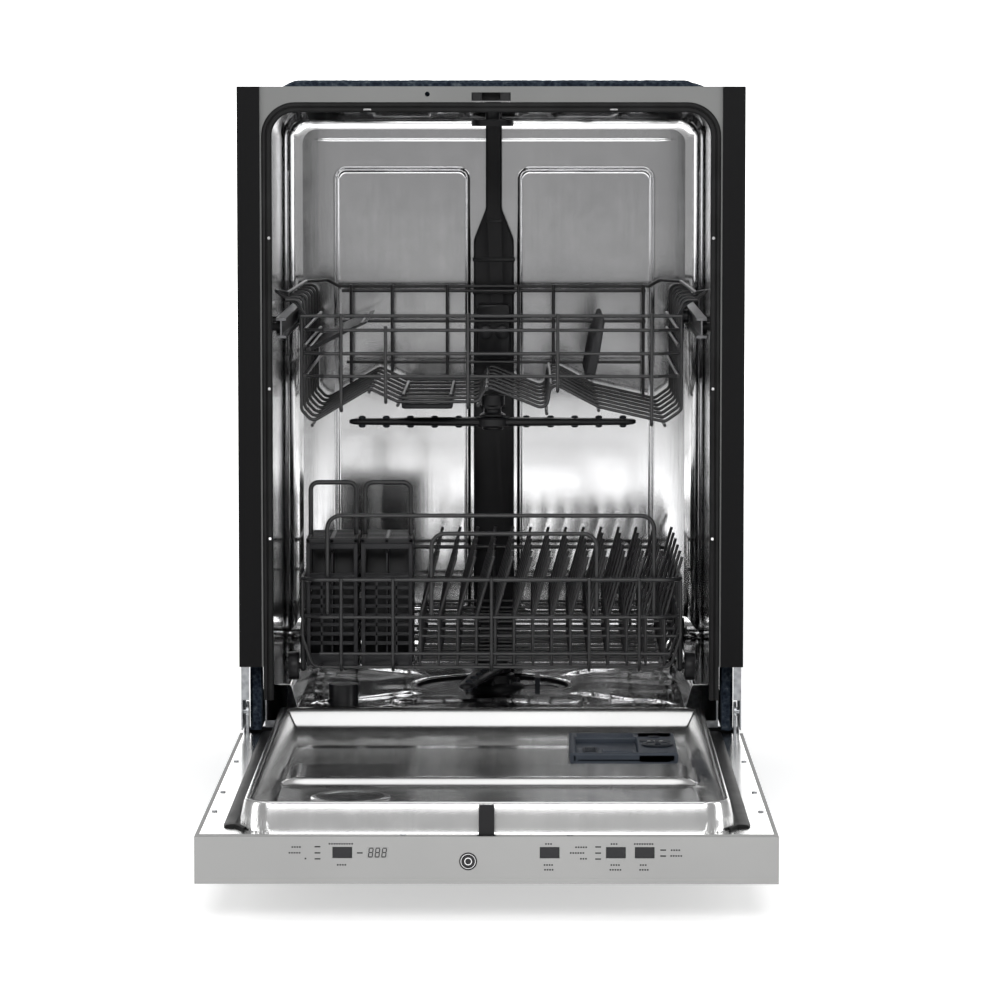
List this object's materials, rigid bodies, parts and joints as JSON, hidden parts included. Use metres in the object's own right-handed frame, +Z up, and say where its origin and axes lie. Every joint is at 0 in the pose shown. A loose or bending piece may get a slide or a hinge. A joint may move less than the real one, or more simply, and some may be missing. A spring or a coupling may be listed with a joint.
{
  "type": "built-in dishwasher",
  "caption": "Built-in dishwasher with its door open flat, showing a polished steel tub, two wire racks on slides, spray arms, silverware basket and a control panel on the door's top edge.",
  "frame": {"origin": "on the floor, midway between the open door's front edge and the rearmost fitting, on the left-right centre line", "axes": "+X to the right as seen from the front, +Y towards the back, +Z up"},
  "size_m": [0.603, 1.28, 0.872],
  "materials": {
    "tub_steel": "polished stainless steel",
    "frame_grey": "satin light grey",
    "panel_grey": "satin light grey",
    "seal_rubber": "matt black rubber",
    "trim_black": "satin black",
    "sound_felt": "mottled dark blue-grey felt",
    "zinc_steel": "zinc-plated steel",
    "dark_plastic": "moulded near-black polypropylene",
    "rack_nylon": "dark grey nylon-coated wire",
    "grey_plastic": "blue-grey moulded plastic",
    "white_plastic": "white plastic",
    "button_black": "gloss black",
    "board_green": "green circuit board",
    "badge_metal": "brushed dark chrome",
    "heater_steel": "steel tube"
  },
  "bodies": {
    "cabinet": {"tub_wrap": "tub_steel", "tub_back_wall": "tub_steel", "tub_floor": "tub_steel", "front_frame": "frame_grey", "door_gasket": "seal_rubber", "side_trims": "trim_black", "insulation_blanket": "sound_felt", "latch_strike": "dark_plastic", "base_frame": "zinc_steel", "levelling_legs": "zinc_steel", "toe_kick": "trim_black", "hinge_brackets": "zinc_steel", "door_springs": "zinc_steel", "water_feed_tube": "dark_plastic", "ceiling_nozzle": "dark_plastic", "sump_housing": "dark_plastic", "flat_filter": "tub_steel", "circulation_pump": "dark_plastic", "drain_pump": "dark_plastic", "inlet_valve": "white_plastic", "flow_heater": "heater_steel", "junction_box": "zinc_steel", "rail_rollers": "dark_plastic"},
    "door": {"door_outer_panel": "panel_grey", "door_liner": "tub_steel", "control_panel": "panel_grey", "control_board": "board_green", "indicator_lenses": "white_plastic", "display_window": "button_black", "panel_badge": "badge_metal", "hinge_arms": "zinc_steel", "door_insulation": "sound_felt", "door_screws": "zinc_steel", "latch_housing": "dark_plastic", "dispenser_body": "grey_plastic", "vent_cover": "white_plastic"},
    "upper_rack": {"upper_rack": "rack_nylon", "rack_slide_blocks": "dark_plastic", "rack_manifold": "dark_plastic"},
    "lower_rack": {"lower_rack": "rack_nylon"},
    "start_button": {"start_button": "button_black"},
    "delay_button": {"delay_button": "button_black"},
    "cycle_button": {"cycle_button": "button_black"},
    "temp_button": {"temp_button": "button_black"},
    "dispenser_lid": {"dispenser_lid": "grey_plastic"},
    "rinse_aid_cap": {"rinse_aid_cap": "grey_plastic"},
    "latch_hook": {"latch_hook": "trim_black"},
    "cylinder_filter": {"cylinder_filter": "grey_plastic"},
    "overfill_float": {"overfill_float": "grey_plastic"},
    "cup_shelf": {"cup_shelf": "dark_plastic"},
    "folding_tines": {"folding_tines": "dark_plastic"},
    "rack_rail_left": {"rack_rail_left": "zinc_steel"},
    "rack_rail_right": {"rack_rail_right": "zinc_steel"},
    "upper_spray_arm": {"upper_spray_arm": "dark_plastic"},
    "lower_spray_arm": {"lower_spray_arm": "dark_plastic"},
    "silverware_basket": {"silverware_basket": "dark_plastic"},
    "rack_wheel_front_left": {"rack_wheel_front_left": "dark_plastic"},
    "rack_wheel_rear_left": {"rack_wheel_rear_left": "dark_plastic"},
    "rack_wheel_front_right": {"rack_wheel_front_right": "dark_plastic"},
    "rack_wheel_rear_right": {"rack_wheel_rear_right": "dark_plastic"}
  },
  "joints": [
    {"name": "door_hinge", "type": "hinge", "parent": "cabinet", "child": "door", "pos_m": [0, 0.10325, 0.12075], "axis": [-1, 0, 0], "range_deg": [0, 90]},
    {"name": "start_button_press", "type": "slide", "parent": "door", "child": "start_button", "axis": [0, 1, 0], "range_m": [0, 0.0012], "stiffness_N_per_m": 300},
    {"name": "delay_button_press", "type": "slide", "parent": "door", "child": "delay_button", "axis": [0, 1, 0], "range_m": [0, 0.0012], "stiffness_N_per_m": 300},
    {"name": "cycle_button_press", "type": "slide", "parent": "door", "child": "cycle_button", "axis": [0, 1, 0], "range_m": [0, 0.0012], "stiffness_N_per_m": 300},
    {"name": "temp_button_press", "type": "slide", "parent": "door", "child": "temp_button", "axis": [0, 1, 0], "range_m": [0, 0.0012], "stiffness_N_per_m": 300},
    {"name": "dispenser_lid_slide", "type": "slide", "parent": "door", "child": "dispenser_lid", "axis": [0, 1, 0], "range_m": [0, 0.06]},
    {"name": "rinse_cap_twist", "type": "hinge", "parent": "door", "child": "rinse_aid_cap", "pos_m": [0.192, -0.115, 0.1115], "axis": [0, 0, 1], "range_deg": [0, 90]},
    {"name": "latch_hook_pivot", "type": "hinge", "parent": "door", "child": "latch_hook", "pos_m": [0, -0.6273, 0.0695], "axis": [1, 0, 0], "range_deg": [-4, 0], "stiffness_Nm_per_rad": 0.3},
    {"name": "cylinder_filter_twist", "type": "hinge", "parent": "cabinet", "child": "cylinder_filter", "pos_m": [0.056, 0.36, 0.09], "axis": [0, 0, 1], "range_deg": [0, 60]},
    {"name": "float_rise", "type": "slide", "parent": "cabinet", "child": "overfill_float", "axis": [0, 0, 1], "range_m": [0, 0.006]},
    {"name": "upper_rack_slide", "type": "slide", "parent": "cabinet", "child": "upper_rack", "axis": [0, 1, 0], "range_m": [-0.43, 0]},
    {"name": "rack_rail_left_slide", "type": "slide", "parent": "cabinet", "child": "rack_rail_left", "axis": [0, 1, 0], "range_m": [-0.215, 0]},
    {"name": "rack_rail_right_slide", "type": "slide", "parent": "cabinet", "child": "rack_rail_right", "axis": [0, 1, 0], "range_m": [-0.215, 0]},
    {"name": "cup_shelf_hinge", "type": "hinge", "parent": "upper_rack", "child": "cup_shelf", "pos_m": [-0.22, 0.35, 0.549], "axis": [0, -1, 0], "range_deg": [-25, 60]},
    {"name": "folding_tines_hinge", "type": "hinge", "parent": "upper_rack", "child": "folding_tines", "pos_m": [0.118, 0.35, 0.515], "axis": [0, 1, 0], "range_deg": [0, 70]},
    {"name": "upper_arm_spin", "type": "hinge", "parent": "upper_rack", "child": "upper_spray_arm", "pos_m": [0, 0.35, 0.45], "axis": [0, 0, 1], "continuous": true},
    {"name": "lower_arm_spin", "type": "hinge", "parent": "cabinet", "child": "lower_spray_arm", "pos_m": [0, 0.36, 0.1405], "axis": [0, 0, 1], "continuous": true},
    {"name": "lower_rack_slide", "type": "slide", "parent": "cabinet", "child": "lower_rack", "axis": [0, 1, 0], "range_m": [-0.44, 0]},
    {"name": "silverware_basket_lift", "type": "slide", "parent": "lower_rack", "child": "silverware_basket", "axis": [0, 0, 1], "range_m": [0, 0.035]},
    {"name": "rack_wheel_front_left_spin", "type": "hinge", "parent": "lower_rack", "child": "rack_wheel_front_left", "pos_m": [-0.239, 0.168, 0.1673], "axis": [1, 0, 0], "continuous": true},
    {"name": "rack_wheel_front_right_spin", "type": "hinge", "parent": "lower_rack", "child": "rack_wheel_front_right", "pos_m": [0.239, 0.168, 0.1673], "axis": [1, 0, 0], "continuous": true},
    {"name": "rack_wheel_rear_left_spin", "type": "hinge", "parent": "lower_rack", "child": "rack_wheel_rear_left", "pos_m": [-0.239, 0.532, 0.1673], "axis": [1, 0, 0], "continuous": true},
    {"name": "rack_wheel_rear_right_spin", "type": "hinge", "parent": "lower_rack", "child": "rack_wheel_rear_right", "pos_m": [0.239, 0.532, 0.1673], "axis": [1, 0, 0], "continuous": true}
  ],
  "couplings": [
    {"joint": "rack_rail_left_slide", "follows": "upper_rack_slide", "ratio": 0.5},
    {"joint": "rack_rail_right_slide", "follows": "upper_rack_slide", "ratio": 0.5},
    {"joint": "rack_wheel_front_left_spin", "follows": "lower_rack_slide", "rad_per_m": -58.824},
    {"joint": "rack_wheel_front_right_spin", "follows": "lower_rack_slide", "rad_per_m": -58.824},
    {"joint": "rack_wheel_rear_left_spin", "follows": "lower_rack_slide", "rad_per_m": -58.824},
    {"joint": "rack_wheel_rear_right_spin", "follows": "lower_rack_slide", "rad_per_m": -58.824}
  ]
}
